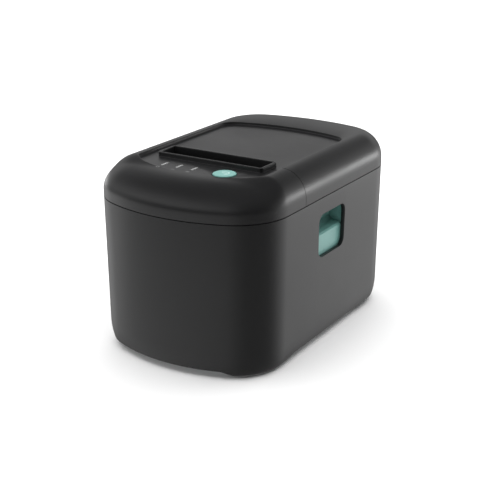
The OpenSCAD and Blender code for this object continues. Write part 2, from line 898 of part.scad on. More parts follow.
module cutter_bed() {
    color("gray")
    difference() {
        union() {
            block([-plate_x, cutter_y - 9, bed_z], [plate_x, paper_y - 1.5, bed_z + bed_t]);
            // rails that keep the blade down
            both_sides() {
                block([slot_half + 0.3, slot_front - 2, bed_z + bed_t - tiny],
                    [slot_half + 6, paper_y - 1.5, blade_z + blade_t + 0.3]);
                block([slot_half - 3, slot_front - 2, blade_z + blade_t + 0.3],
                    [slot_half + 6, paper_y - 1.5, blade_z + blade_t + 1.3]);
            }
        }
        translate([cutter_x, cutter_y, bed_z - 1]) cylinder(r = 3.2, h = 5);
    }
}

module cutter_motor() {
    color("gray")
    translate([cutter_x, cutter_y, 0])
        difference() {
            union() {
                translate([0, 0, bed_z - 30]) cylinder(r = 8, h = 30);
                translate([0, 0, bed_z - tiny]) cylinder(r = 3, h = bed_t);
                translate([0, 0, bed_z - 32]) cylinder(r = 3, h = 2.1);
            }
            translate([0, 0, bed_z - 20]) cylinder(r = 1 + running_gap, h = 30);
        }
}

// ---- cutter ----

module cutter_gear() {
    color("ivory")
    translate([cutter_x, cutter_y, 0]) {
        translate([0, 0, blade_z + blade_t + 0.3])
            linear_extrude(2.2) rotate(180) polygon(gear_points(cutter_teeth, cutter_module));
        translate([0, 0, bed_z - 19]) cylinder(r = 1, h = blade_z + blade_t + 1 - bed_z + 19);
    }
}

module moving_blade() {
    edge = paper_y - 1.3;
    color("silver")
    translate([0, 0, blade_z])
        linear_extrude(blade_t)
            difference() {
                polygon([
                    [-slot_half, slot_front - 3], [slot_half, slot_front - 3], [slot_half, edge],
                    [0, edge - 2], [-slot_half, edge]
                ]);
                for (x = [-20, 0, 20])
                    translate([x, slot_y - 4]) circle(2);
            }
}

function rack_tooth(y) =
    let (m = cutter_module, slim = backlash / 4)
    [
        [-1.25 * m, y - PI * m / 4 - 1.25 * m * tan(20) + slim],
        [m, y - PI * m / 4 + m * tan(20) + slim],
        [m, y + PI * m / 4 - m * tan(20) - slim],
        [-1.25 * m, y + PI * m / 4 + 1.25 * m * tan(20) - slim]
    ];

module blade_rack() {
    pitch = PI * cutter_module;
    // enough teeth behind the pinion for the whole travel
    first = -2 - ceil(blade_travel / pitch);
    last = 1;
    color("ivory")
    translate([rack_x, cutter_y, blade_z + blade_t])
        linear_extrude(2.2)
            polygon(concat(
                [[-5, (first - 0.5) * pitch], [-1.25 * cutter_module, (first - 0.5) * pitch]],
                [for (k = [first:last]) each rack_tooth((k + 0.5) * pitch)],
                [[-1.25 * cutter_module, 12], [-5, 12]]
            ));
}

module fixed_blade() {
    color("silver")
    difference() {
        block([-slot_half + 1, paper_y + 0.4, bed_z + 0.3], [slot_half - 1, paper_y + 8, bed_z + 1.3]);
        for (x = [-25, 25])
            translate([x, paper_y + 5.2, bed_z]) cylinder(r = 1.2, h = 3);
    }
}

// ---- print head ----

module print_head() {
    color("ivory")
    block([-slot_half, paper_y - 1.4, platen_z - 9], [slot_half, paper_y - 0.3, platen_z + 7]);
    color("black")
    block([-slot_half + 4, paper_y - 0.31, platen_z - 8],
        [slot_half - 4, paper_y - 0.05, platen_z - 3.5]);
}

module heat_sink() {
    y1 = paper_y - 1.4;
    pivot_y = slot_y + 0.5;
    color("lightgray")
    difference() {
        union() {
            block([-slot_half - 1, y1 - 4.5, platen_z - 11], [slot_half + 1, y1, platen_z + 8]);
            block([-slot_half - 1, pivot_y - 1, platen_z - 14], [slot_half + 1, y1, platen_z - 10.9]);
            bar_x(-slot_half - 1, slot_half + 1, pivot_y, platen_z - 14, 3);
        }
        bar_x(-slot_half - 2, slot_half + 2, pivot_y, platen_z - 14, 1.5 + running_gap);
        // fins
        for (i = [-9:9])
            block([i * 4 - 0.9, y1 - 5, platen_z - 8], [i * 4 + 0.9, y1 - 2, platen_z + 9]);
    }
}

module head_rod() {
    color("silver")
    bar_x(-plate_x - plate_t - 0.5, plate_x + plate_t + 0.5, slot_y + 0.5, platen_z - 14, 1.5 - 0.01);
}

module head_spring() {
    y1 = slot_y - 11.5;
    color("silver")
    both_sides()
        slab_x(14, 24)
            polygon([
                [y1, platen_z - 6], [y1 + 0.5, platen_z - 6], [y1 + 0.5, platen_z - 2],
                [y1 + 8.3, platen_z + 3], [y1 + 8.3, platen_z + 6], [y1 + 7.8, platen_z + 6],
                [y1 + 7.8, platen_z + 3.3], [y1, platen_z - 1.6]
            ]);
}

// ---- platen ----

module platen_shaft() {
    color("silver")
    bar_x(-gear_x - gear_t - 1, plate_x + 3.5, platen_y, platen_z, shaft_r);
}

module platen_roller() {
    color("dimgray")
    difference() {
        bar_x(-roller_half, roller_half, platen_y, platen_z, platen_r);
        bar_x(-roller_half - 1, roller_half + 1, platen_y, platen_z, shaft_r);
    }
}

module platen_gear() {
    color("ivory")
    slab_x(-gear_x - gear_t, -gear_x)
        translate([platen_y, platen_z])
            rotate(-90) gear_shape(platen_teeth, feed_module, shaft_r);
}

module idler_gear() {
    color("ivory")
    slab_x(-gear_x - gear_t, -gear_x)
        translate([platen_y, idler_z])
            rotate(idler_phase) gear_shape(idler_teeth, feed_module, 2 + running_gap);
}

module motor_pinion() {
    color("gold")
    union() {
        slab_x(-gear_x - gear_t, -gear_x)
            translate([motor_y, motor_z])
                rotate(pinion_phase) polygon(gear_points(pinion_teeth, feed_module));
        bar_x(-gear_x - gear_t, -plate_x + 11, motor_y, motor_z, 1.5);
    }
}

module platen_bushings() {
    color("gold")
    both_sides()
        difference() {
            bar_x(arm_x, plate_x + plate_t + 0.5, platen_y, platen_z, bush_r);
            bar_x(arm_x - 1, plate_x + plate_t + 1.5, platen_y, platen_z, shaft_r + running_gap);
        }
}

module platen_bracket() {
    top = deck_z - wall - 4;
    color("silver")
    union() {
        both_sides()
            slab_x(arm_x, arm_x + arm_t)
                difference() {
                    polygon([
                        [platen_y - 6.5, platen_z - 4], [platen_y - 3, platen_z - 8],
                        [latch_y + 3, platen_z - 8], [latch_y + 5, platen_z - 4],
                        [latch_y + 5, top], [platen_y - 6.5, top]
                    ]);
                    translate([platen_y, platen_z]) circle(bush_r + 0.01);
                    translate([latch_y, latch_pin_z]) circle(latch_pin_r + 0.01);
                }
        block([-arm_x - arm_t, slot_back + 3, top - 1.2], [arm_x + arm_t, latch_y + 5, top]);
        // flange that holds the fixed blade
        block([-slot_half + 1, slot_back + 3, bed_z + 1.3], [slot_half - 1, slot_back + 4.2, top]);
    }
}

module latch_pins() {
    color("silver")
    both_sides()
        bar_x(arm_x, hook_x + 2.4, latch_y, latch_pin_z, latch_pin_r);
}

// ---- lid ----

module rear_lid() {
    color("dimgray")
    difference() {
        union() {
            intersection() {
                difference() {
                    cover_outside();
                    cover_inside();
                }
                difference() {
                    block([-side_x - 5, split_y + part_gap / 2, seam_z - 5],
                        [side_x + 5, rear_y + 5, crest_z + 5]);
                    block([-hood_half - part_gap, split_y - 5, seam_z],
                        [hood_half + part_gap, hood_split_y + part_gap / 2, crest_z + 5]);
                }
            }
            // rear edge of the hood and the throat below it
            block([-hood_half, hood_split_y + part_gap / 2, deck_z - wall],
                [hood_half, slot_back + hood_wall, hood_z]);
            block([-slot_half, slot_back, throat_z + 0.5],
                [slot_half, slot_back + hood_wall, deck_z]);
            // hinge arms
            both_sides() {
                block([lug_x + lug_t + 0.3, hinge_y - hinge_r, hinge_z],
                    [lug_x + lug_t + 6.3, hinge_y + hinge_r, shoulder_z + 4]);
                bar_x(lug_x + lug_t + 0.3, lug_x + lug_t + 6.3, hinge_y, hinge_z, hinge_r);
            }
            // pads that the platen bracket screws to
            both_sides()
                block([20, slot_back + 5, deck_z - wall - 4], [36, latch_y + 4, deck_z - wall + 1]);
        }
        slot_cut(throat_z - 5, hood_z + 5, slot_back);
        both_sides()
            bar_x(lug_x + lug_t - 1, lug_x + lug_t + 8, hinge_y, hinge_z, pin_r + running_gap);
    }
}

module lid_liner() {
    z1 = deck_z - wall;
    y0 = latch_y + 6;
    y1 = rear_y - deck_back - 4;
    color("darkslategray")
    difference() {
        block([-44, y0, z1 - 5], [44, y1, z1]);
        // open cells between the ribs
        for (i = [0:3], j = [0:3])
            block([-42 + i * 21.4, y0 + 2 + j * (y1 - y0 - 2) / 4, z1 - 3],
                [-22.4 + i * 21.4, y0 + (j + 1) * (y1 - y0 - 2) / 4, z1 + 1]);
    }
}

module hinge_pins() {
    color("silver")
    both_sides()
        bar_x(lug_x + 0.2, lug_x + lug_t + 6, hinge_y, hinge_z, pin_r - 0.01);
}

// ---- latch ----

module latch_shaft() {
    color("silver")
    bar_x(-plate_x - plate_t - 0.8, lever_in + 1.5, latch_y, latch_z, latch_r);
}

module latch_hooks() {
    r = latch_pin_r;
    color("silver")
    both_sides()
        slab_x(hook_x, hook_x + 2)
            difference() {
                union() {
                    translate([latch_y, latch_z]) circle(3.9);
                    polygon([
                        [latch_y - 2.5, latch_z], [latch_y + r + 1.5, latch_pin_z - 8],
                        [latch_y + r + 2.4, latch_pin_z + 0.5], [latch_y + r + 2.4, latch_pin_z + r],
                        [latch_y + r + 0.6, latch_pin_z + r + 0.4],
                        [latch_y + r + 1.2, latch_pin_z + r + 3.5],
                        [latch_y + r + 5, latch_pin_z + r + 2.4], [latch_y + r + 5, latch_pin_z - 8],
                        [latch_y + 3.7, latch_z]
                    ]);
                }
                translate([latch_y, latch_z]) circle(latch_r);
            }
}

module latch_spring() {
    x0 = plate_x - 7;
    color("silver")
    difference() {
        union() {
            bar_x(x0, x0 + 3, latch_y, latch_z, latch_r + 1.6);
            block([x0, latch_y - 4.1, latch_z - 14], [x0 + 1, latch_y - 3.1, latch_z]);
        }
        bar_x(x0 - 1, x0 + 4, latch_y, latch_z, latch_r + 0.7);
    }
}

module release_lever() {
    y0 = window_y - window_w / 2 - 3.5;
    y1 = window_y + window_w / 2 + 3.5;
    z0 = window_z - window_h / 2 - 6;
    z1 = window_z + window_h / 2 + 5;
    color("mediumaquamarine")
    difference() {
        union() {
            slab_y(y0, y1)
                polygon([
                    [lever_in, z0], [lever_out, z0], [lever_out, window_z - 1],
                    [lever_out - 1.2, window_z], [lever_in + 5, window_z + 0.8],
                    [lever_in + 2, window_z + 4], [lever_in + 2, z1], [lever_in, z1]
                ]);
            // end cheeks
            for (y = [y0, y1 - 1.6])
                block([lever_in, y, z0], [lever_out, y + 1.6, z1]);
            bar_x(plate_x + plate_t + 1, lever_in + 2, latch_y, latch_z, 5);
        }
        bar_x(plate_x, lever_in + 1.5, latch_y, latch_z, latch_r);
    }
}

// ---- sensors and cable ----

module lid_switch() {
    color("black") {
        block([plate_x + plate_t, platen_y - 22, seam_z - 12],
            [plate_x + plate_t + 5, platen_y - 9, seam_z - 5]);
        block([plate_x + plate_t + 1, platen_y - 20, seam_z - 5],
            [plate_x + plate_t + 4, platen_y - 18, seam_z - 3.6]);
    }
}

module ribbon_cable() {
    t = 0.4;
    y0 = slot_y - 8.5;
    y1 = rear_y - 92;
    color("white")
    slab_x(-10, 10)
        polygon([
            [y0, platen_z - 16], [y0 + t, platen_z - 16], [y0 + t, socket_z + 8 + t],
            [y1 + t, socket_z + 8 + t], [y1 + t, socket_z], [y1, socket_z], [y1, socket_z + 8],
            [y0, socket_z + 8]
        ]);
}

lower_housing();
base_plate();
rubber_feet();
base_screws();
front_cover();
status_lights();
panel_board();
panel_leds();
feed_switch();
panel_screws();
main_board();
board_chips();
board_capacitors();
board_screws();
power_inlet();
usb_socket();
network_socket();
drawer_socket();
serial_socket();
connector_plate();
plate_screws();
switch_body();
paper_bin();
near_end_sensor();
paper_sensor();
mechanism_frame();
frame_screws();
feed_motor();
idler_axle();
cutter_bed();
cutter_motor();
latch_spring();
head_spring();
head_rod();
lid_switch();
ribbon_cable();
hinge_pins();
rear_lid();
lid_liner();
platen_bracket();
latch_pins();
platen_bushings();
fixed_blade();
platen_shaft();
platen_roller();
platen_gear();
idler_gear();
motor_pinion();
cutter_gear();
moving_blade();
blade_rack();
print_head();
heat_sink();
feed_button();
release_lever();
latch_shaft();
latch_hooks();
power_rocker();
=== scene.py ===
import json
import math
import bpy
import numpy as np
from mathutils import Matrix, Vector


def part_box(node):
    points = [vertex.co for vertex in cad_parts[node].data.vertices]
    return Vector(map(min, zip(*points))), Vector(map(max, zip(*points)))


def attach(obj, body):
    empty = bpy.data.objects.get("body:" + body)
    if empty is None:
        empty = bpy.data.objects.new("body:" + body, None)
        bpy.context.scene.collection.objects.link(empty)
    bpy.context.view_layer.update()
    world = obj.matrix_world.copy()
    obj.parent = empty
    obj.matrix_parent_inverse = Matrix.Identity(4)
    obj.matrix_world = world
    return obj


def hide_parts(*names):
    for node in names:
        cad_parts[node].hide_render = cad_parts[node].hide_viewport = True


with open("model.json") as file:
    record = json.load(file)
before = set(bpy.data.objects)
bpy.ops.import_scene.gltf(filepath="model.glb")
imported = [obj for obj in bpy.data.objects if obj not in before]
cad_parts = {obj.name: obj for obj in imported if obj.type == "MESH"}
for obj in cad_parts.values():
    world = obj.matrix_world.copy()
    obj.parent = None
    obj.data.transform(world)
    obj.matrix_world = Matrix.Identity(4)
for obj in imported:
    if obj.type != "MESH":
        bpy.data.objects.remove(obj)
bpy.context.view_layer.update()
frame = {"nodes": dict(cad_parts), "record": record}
nodes = frame["nodes"]
mm = 0.001


print("stage: frame loaded,", len(nodes), "nodes")

# mesh helpers


def ringsToMesh(name, rings):
    count = len(rings[0])
    points = np.concatenate(rings)
    faces = [tuple(reversed(range(count)))]
    for level in range(len(rings) - 1):
        low = level * count
        for i in range(count):
            j = (i + 1) % count
            faces.append((low + i, low + j, low + count + j, low + count + i))
    top = (len(rings) - 1) * count
    faces.append(tuple(range(top, top + count)))
    mesh = bpy.data.meshes.new(name)
    mesh.from_pydata([tuple(map(float, p)) for p in points], [], faces)
    mesh.validate()
    piece = bpy.data.objects.new(name, mesh)
    bpy.context.scene.collection.objects.link(piece)
    return piece


def boxMesh(name, low, high):
    ring = np.array([[low[0], low[1]], [high[0], low[1]], [high[0], high[1]], [low[0], high[1]]])
    return ringsToMesh(name, [flat(ring, low[2]), flat(ring, high[2])])


def flat(outline, z):
    return np.column_stack([outline, np.full(len(outline), z)])


# operation is DIFFERENCE, UNION or INTERSECT; the tool is used up
def combine(target, tool, operation):
    step = target.modifiers.new(operation.lower(), "BOOLEAN")
    step.operation = operation
    step.solver = "EXACT"
    step.object = tool
    bpy.context.view_layer.update()
    graph = bpy.context.evaluated_depsgraph_get()
    made = bpy.data.meshes.new_from_object(target.evaluated_get(graph))
    target.modifiers.clear()
    target.data = made
    bpy.data.objects.remove(tool)
    return target


def copyOf(piece):
    twin = piece.copy()
    twin.data = piece.data.copy()
    bpy.context.scene.collection.objects.link(twin)
    return twin


def arcPoints(centre, radius, start, end, steps, skip=0):
    angles = np.linspace(start, end, steps + 1)[skip:]
    return np.column_stack([centre[0] + radius * np.cos(angles), centre[1] + radius * np.sin(angles)])


def roundRect(low, high, radius, steps=8):
    corners = [(high[0] - radius, low[1] + radius, -90), (high[0] - radius, high[1] - radius, 0),
               (low[0] + radius, high[1] - radius, 90), (low[0] + radius, low[1] + radius, 180)]
    return np.concatenate([
        arcPoints((x, y), radius, math.radians(a), math.radians(a + 90), steps) for x, y, a in corners])


def shadeSmooth(piece, degrees=32):
    piece.data.shade_smooth()
    piece.data.set_sharp_from_angle(angle=math.radians(degrees))


# case outline

caseLook = {
    "frontBow": 124 * mm,
    "rearBow": 167 * mm,
    "frontRound": 41 * mm,
    "rearRound": 40 * mm,
    "wall": 2.8 * mm,
    "topRound": 18.5 * mm,
    "frontRoll": 33 * mm,
    "shoulder": 5.3 * mm,
    "rim": 2.3 * mm,
    "deckBack": 50 * mm,
    "draft": 1.2 * mm,
    "tuckIn": 5.6 * mm,
    "tuckHigh": 20 * mm,
    "seamEdge": 0.22 * mm,
    "hoodHigh": 3.2 * mm,
    "arcSteps": 26,
    "roundSteps": 22,
}

lowCase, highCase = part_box("lower_housing")
lowCover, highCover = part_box("front_cover")
lowLid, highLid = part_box("rear_lid")
halfWide = highCase.x
frontY = lowCover.y
rearY = -frontY
seamLow = highCase.z
seamZ = seamLow + 0.25 * mm
seamHigh = seamLow + 0.5 * mm
deckZ = highLid.z - caseLook["hoodHigh"]
crestZ = deckZ + caseLook["rim"]
shoulderZ = seamZ + caseLook["shoulder"]
footZ = lowCase.z


def halfOutline(inset, back, backBow, backRound, steps):
    half = halfWide - inset
    frontRadius = caseLook["frontRound"] - inset
    frontBow = caseLook["frontBow"]
    frontCentre = frontY + frontBow
    cornerX = half - frontRadius
    cornerY = frontCentre - math.sqrt((frontBow - inset - frontRadius) ** 2 - cornerX ** 2)
    turn = math.atan2(cornerY - frontCentre, cornerX)
    rearRadius = backRound - inset
    rearCentre = back - backBow
    rearX = half - rearRadius
    rearCornerY = rearCentre + math.sqrt((backBow - inset - rearRadius) ** 2 - rearX ** 2)
    rearTurn = math.atan2(rearCornerY - rearCentre, rearX)
    side = np.linspace(cornerY, rearCornerY, steps)[1:-1]
    return np.concatenate([
        arcPoints((0, frontCentre), frontBow - inset, -math.pi / 2, turn, steps),
        arcPoints((cornerX, cornerY), frontRadius, turn, 0, steps, 1),
        np.column_stack([np.full(len(side), half), side]),
        arcPoints((rearX, rearCornerY), rearRadius, 0, rearTurn, steps),
        arcPoints((0, rearCentre), backBow - inset, rearTurn, math.pi / 2, steps, 1)])


def mirrored(half):
    return np.concatenate([half, half[-2:0:-1] * [-1, 1]])


def caseOutline(inset):
    return mirrored(halfOutline(inset, rearY, caseLook["rearBow"], caseLook["rearRound"],
                                caseLook["arcSteps"]))


def deckOutline(inset, shift=0.0):
    back = rearY - caseLook["deckBack"] + shift + inset
    return mirrored(halfOutline(inset, back, caseLook["rearBow"], 12 * mm + inset, caseLook["arcSteps"]))


def eased(t):
    t = np.clip(t, 0, 1)
    return t * t * (3 - 2 * t)


def rimAt(y):
    return deckZ + caseLook["rim"] * eased((y - frontY - 34 * mm) / (16 * mm))


# the front rounds back further than the sides do
def rolled(outline, share):
    extra = (caseLook["frontRoll"] - caseLook["topRound"]) * share
    back = extra * (1 - eased((outline[:, 1] - frontY - 20 * mm) / (45 * mm)))
    return outline + np.column_stack([np.zeros(len(outline)), back])


def rimRing(outline, low, share, drop=0.0):
    return np.column_stack([outline, low + (rimAt(outline[:, 1]) - drop - low) * share])


def coverOutside():
    edge = caseLook["seamEdge"]
    rings = []
    for t in np.linspace(0, math.pi / 2, 5):
        rings.append(flat(caseOutline(edge * (1 - math.sin(t))), seamHigh + edge * (1 - math.cos(t))))
    rings.append(flat(caseOutline(0), shoulderZ))
    for t in np.linspace(0, math.pi / 2, caseLook["roundSteps"] + 1)[1:]:
        share = 1 - math.cos(t)
        rings.append(rimRing(rolled(caseOutline(caseLook["topRound"] * share), share),
                             shoulderZ, math.sin(t)))
    # soft inner edge of the rim and the blend into the deck
    top = caseLook["topRound"]
    # how far in (mm), how far the rear wall moves (mm), share of the rim's height left
    profile = [(0.4, 0.0, 1.0), (0.6, -0.15, 0.985), (0.8, -0.3, 0.94), (0.95, -0.4, 0.82),
               (1.1, -0.5, 0.62), (1.25, -0.6, 0.4), (1.45, -0.75, 0.22), (1.8, -1.1, 0.1),
               (2.3, -1.6, 0.03), (3.0, -2.3, 0.0)]
    for extra, shift, share in profile:
        rings.append(rimRing(rolled(deckOutline(top + extra * mm, shift * mm), 1.0), deckZ, share))
    return ringsToMesh("coverOutside", rings)


def coverInside():
    wall = caseLook["wall"]
    inner = caseLook["topRound"] - 1.5 * mm
    rings = [flat(caseOutline(wall), seamZ - 1 * mm), flat(caseOutline(wall), shoulderZ)]
    for t in np.linspace(0, math.pi / 2, 8)[1:]:
        share = 1 - math.cos(t)
        outline = rolled(caseOutline(wall + (inner - wall) * share), share)
        rings.append(rimRing(outline, shoulderZ, math.sin(t), wall))
    rings.append(rimRing(rolled(deckOutline(inner + 0.3 * mm, wall), 1.0), shoulderZ, 1.0, wall))
    rings.append(flat(rolled(deckOutline(inner + 3.1 * mm, -0.5 * mm), 1.0), deckZ - wall))
    return ringsToMesh("coverInside", rings)


def housingOutside():
    edge = caseLook["seamEdge"]
    rings = []
    for t in np.linspace(math.pi / 2, 0, caseLook["roundSteps"] + 1):
        inset = caseLook["draft"] + caseLook["tuckIn"] * (1 - math.cos(t))
        rings.append(flat(caseOutline(inset), footZ + caseLook["tuckHigh"] * (1 - math.sin(t))))
    for t in np.linspace(0, math.pi / 2, 5):
        rings.append(flat(caseOutline(edge * (1 - math.cos(t))), seamLow - edge * (1 - math.sin(t))))
    return ringsToMesh("housingOutside", rings)


def housingInside():
    wall = caseLook["wall"]
    draft = caseLook["draft"]
    return ringsToMesh("housingInside", [
        flat(caseOutline(draft + caseLook["tuckIn"] + wall), footZ - 1 * mm),
        flat(caseOutline(draft + wall), footZ + caseLook["tuckHigh"]),
        flat(caseOutline(wall), seamZ + 1 * mm)])


def barX(name, x0, x1, y, z, radius, steps=48):
    angles = np.linspace(0, 2 * math.pi, steps, endpoint=False)
    rings = []
    for x in (x0, x1):
        rings.append(np.column_stack([
            np.full(steps, x), y + radius * np.cos(angles), z + radius * np.sin(angles)]))
    return ringsToMesh(name, rings)


def smoothStep(start, end, low, high, count=12):
    t = np.linspace(0, 1, count)
    return np.column_stack([start + (end - start) * t, low + (high - low) * t * t * (3 - 2 * t)])


# lower housing

housingLook = {
    "skirt": 5.5 * mm,
    "windowRadius": 6 * mm,
    "windowFlare": 0.5 * mm,
    "bayHalf": 52 * mm,
    "sideRise": (47 * mm, 66 * mm),
    "frontRise": (-64 * mm, -55 * mm, 40 * mm, 52 * mm),
}

leverLow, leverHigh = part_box("release_lever")
windowY = (leverLow.y + leverHigh.y) / 2
windowZ = (leverLow.z + leverHigh.z) / 2 + 0.5 * mm
windowHalf = (leverHigh.y - leverLow.y) / 2 - 3.5 * mm
windowHigh = (leverHigh.z - leverLow.z - 11 * mm) / 2
plateLow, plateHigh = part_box("connector_plate")
bayY = plateLow.y
bayZ = plateLow.z - 0.3 * mm
pinLow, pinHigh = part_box("hinge_pins")
hingeY = (pinLow.y + pinHigh.y) / 2
hingeZ = (pinLow.z + pinHigh.z) / 2
hingeRadius = 4.5 * mm
switchLow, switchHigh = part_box("switch_body")


# a flat profile swept along X (axis 0) or Y (axis 1)
def sideWall(name, profile, axis, start, end):
    rings = []
    for place in ((start, end) if axis == 0 else (end, start)):
        fixed = np.full(len(profile), place)
        if axis == 0:
            rings.append(np.column_stack([fixed, profile[:, 0], profile[:, 1]]))
        else:
            rings.append(np.column_stack([profile[:, 0], fixed, profile[:, 1]]))
    return ringsToMesh(name, rings)


def windowCutter():
    flare = housingLook["windowFlare"]
    rings = []
    for x, grow in ((halfWide - 10 * mm, 0), (halfWide - 1.4 * mm, 0),
                    (halfWide - 0.9 * mm, 0.12 * flare), (halfWide - 0.5 * mm, 0.5 * flare),
                    (halfWide - 0.2 * mm, 1.2 * flare), (halfWide + 5 * mm, 2.4 * flare)):
        outline = roundRect((windowY - windowHalf - grow, windowZ - windowHigh - grow),
                            (windowY + windowHalf + grow, windowZ + windowHigh + grow),
                            housingLook["windowRadius"] + grow, 10)
        rings.append(np.column_stack([np.full(len(outline), x), outline[:, 0], outline[:, 1]]))
    return ringsToMesh("windowCutter", rings)


def hingeLug(sign):
    x0, x1 = sorted((sign * 24 * mm, sign * 30 * mm))
    lug = boxMesh("lug", (x0, bayY - 1 * mm, hingeZ - hingeRadius), (x1, hingeY, hingeZ + hingeRadius))
    combine(lug, barX("lugEnd", x0, x1, hingeY, hingeZ, hingeRadius), "UNION")
    return combine(lug, barX("lugBore", x0 - mm, x1 + mm, hingeY, hingeZ, 2.02 * mm), "DIFFERENCE")


def makeHousing():
    wall = caseLook["wall"]
    half = housingLook["bayHalf"]
    cavity = housingInside()
    bayWalls = boxMesh("bayWalls", (-half - wall, bayY - 3 * mm, bayZ - 2.5 * mm),
                       (half + wall, rearY + 5 * mm, seamZ + 5 * mm))
    combine(cavity, bayWalls, "DIFFERENCE")
    shell = combine(housingOutside(), cavity, "DIFFERENCE")
    bay = boxMesh("bay", (-half, bayY, bayZ), (half, rearY + 5 * mm, seamZ + 5 * mm))
    combine(shell, bay, "DIFFERENCE")
    combine(shell, windowCutter(), "DIFFERENCE")
    combine(shell, boxMesh("socketHole", (-44 * mm, bayY - 4 * mm, bayZ + 0.8 * mm),
                           (44 * mm, bayY + mm, plateHigh.z - 6 * mm)), "DIFFERENCE")
    combine(shell, boxMesh("switchHole", (switchLow.x + 1.5 * mm, bayY - 4 * mm, switchLow.z + 1.5 * mm),
                           (switchHigh.x - 1.5 * mm, bayY + mm, switchHigh.z - 1.5 * mm)), "DIFFERENCE")
    skirt = housingLook["skirt"]
    low = footZ - 2 * mm
    start, end = (frontY + place for place in housingLook["sideRise"])
    rise = smoothStep(start, end, footZ - 0.2 * mm, skirt)
    side = np.concatenate([[[start, low]], rise, [[rearY + 5 * mm, skirt], [rearY + 5 * mm, low]]])
    combine(shell, sideWall("sideArch", side[::-1], 0, -halfWide - 5 * mm, halfWide + 5 * mm), "DIFFERENCE")
    leftStart, leftEnd, rightStart, rightEnd = housingLook["frontRise"]
    front = np.concatenate([[[leftStart, low]], smoothStep(leftStart, leftEnd, footZ - 0.2 * mm, skirt),
                            smoothStep(rightStart, rightEnd, skirt, footZ - 0.2 * mm), [[rightEnd, low]]])
    combine(shell, sideWall("frontArch", front[::-1], 1, frontY - 5 * mm, frontY + 70 * mm), "DIFFERENCE")
    for sign in (-1, 1):
        combine(shell, hingeLug(sign), "UNION")
    shell.name = "housingShell"
    shadeSmooth(shell)
    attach(shell, "case")
    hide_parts("lower_housing")
    return shell


housingShell = makeHousing()
print("stage: lower housing made,", len(housingShell.data.polygons), "faces")

# covers and the paper exit hood

deckLook = {
    "slotSetback": 71 * mm,
    "slotDeep": 18 * mm,
    "slotHalf": 42 * mm,
    "hoodWall": 2 * mm,
    "hoodEdge": 0.55 * mm,
    "splitGap": 0.4 * mm,
    "ledHalf": (1.05 * mm, 4.05 * mm),
}

slotY = frontY + deckLook["slotSetback"]
slotFront = slotY - deckLook["slotDeep"] / 2
slotBack = slotY + deckLook["slotDeep"] / 2
slotHalf = deckLook["slotHalf"]
hoodHalf = slotHalf + deckLook["hoodWall"]
hoodZ = highLid.z
splitY = slotY + 1 * mm
hoodSplitY = slotBack - 1.3 * mm
throatZ = seamZ + 12.7 * mm
buttonLow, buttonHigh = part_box("feed_button")
buttonX = (buttonLow.x + buttonHigh.x) / 2
panelY = (buttonLow.y + buttonHigh.y) / 2
lightLow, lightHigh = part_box("status_lights")
lightX = [(lightLow.x + lightHigh.x) / 2 + i * 12.5 * mm for i in (-1, 0, 1)]


def hoodBody():
    edge = deckLook["hoodEdge"]
    back = slotBack + deckLook["hoodWall"]
    rings = []
    for z, grow in ((throatZ, 0), (deckZ - mm, 0), (deckZ, 0.25 * mm), (deckZ + 0.5 * mm, 0)):
        rings.append(flat(roundRect((-hoodHalf - grow, slotFront - deckLook["hoodWall"] - grow),
                                    (hoodHalf + grow, back + grow), 3 * mm + grow), z))
    for t in np.linspace(0, math.pi / 2, 6):
        inset = edge * (1 - math.cos(t))
        rings.append(flat(roundRect((-hoodHalf + inset, slotFront - deckLook["hoodWall"] + inset),
                                    (hoodHalf - inset, back - inset), 3 * mm - inset),
                          hoodZ - edge * (1 - math.sin(t))))
    return ringsToMesh("hoodBody", rings)


def slotCutter(reachBack=0.0):
    edge = deckLook["hoodEdge"]
    rings = []
    for z, grow in ((throatZ - 5 * mm, 0), (hoodZ - edge, 0), (hoodZ - 0.5 * edge, 0.12 * edge),
                    (hoodZ - 0.15 * edge, 0.45 * edge), (hoodZ + 4 * mm, 6 * edge)):
        rings.append(flat(roundRect((-slotHalf - grow, slotFront - grow),
                                    (slotHalf + grow, slotBack + grow + reachBack), 0.8 * mm, 4), z))
    return ringsToMesh("slotCutter", rings)


# a turned shape on a vertical axis, from its heights and radii
def cylinderZ(name, x, y, profile):
    turnSteps = 72
    angles = np.linspace(0, 2 * math.pi, turnSteps, endpoint=False)
    rings = []
    for z, radius in profile:
        rings.append(np.column_stack([
            x + radius * np.cos(angles), y + radius * np.sin(angles), np.full(turnSteps, z)]))
    return ringsToMesh(name, rings)


coverShell = combine(coverOutside(), coverInside(), "DIFFERENCE")
gap = deckLook["splitGap"] / 2


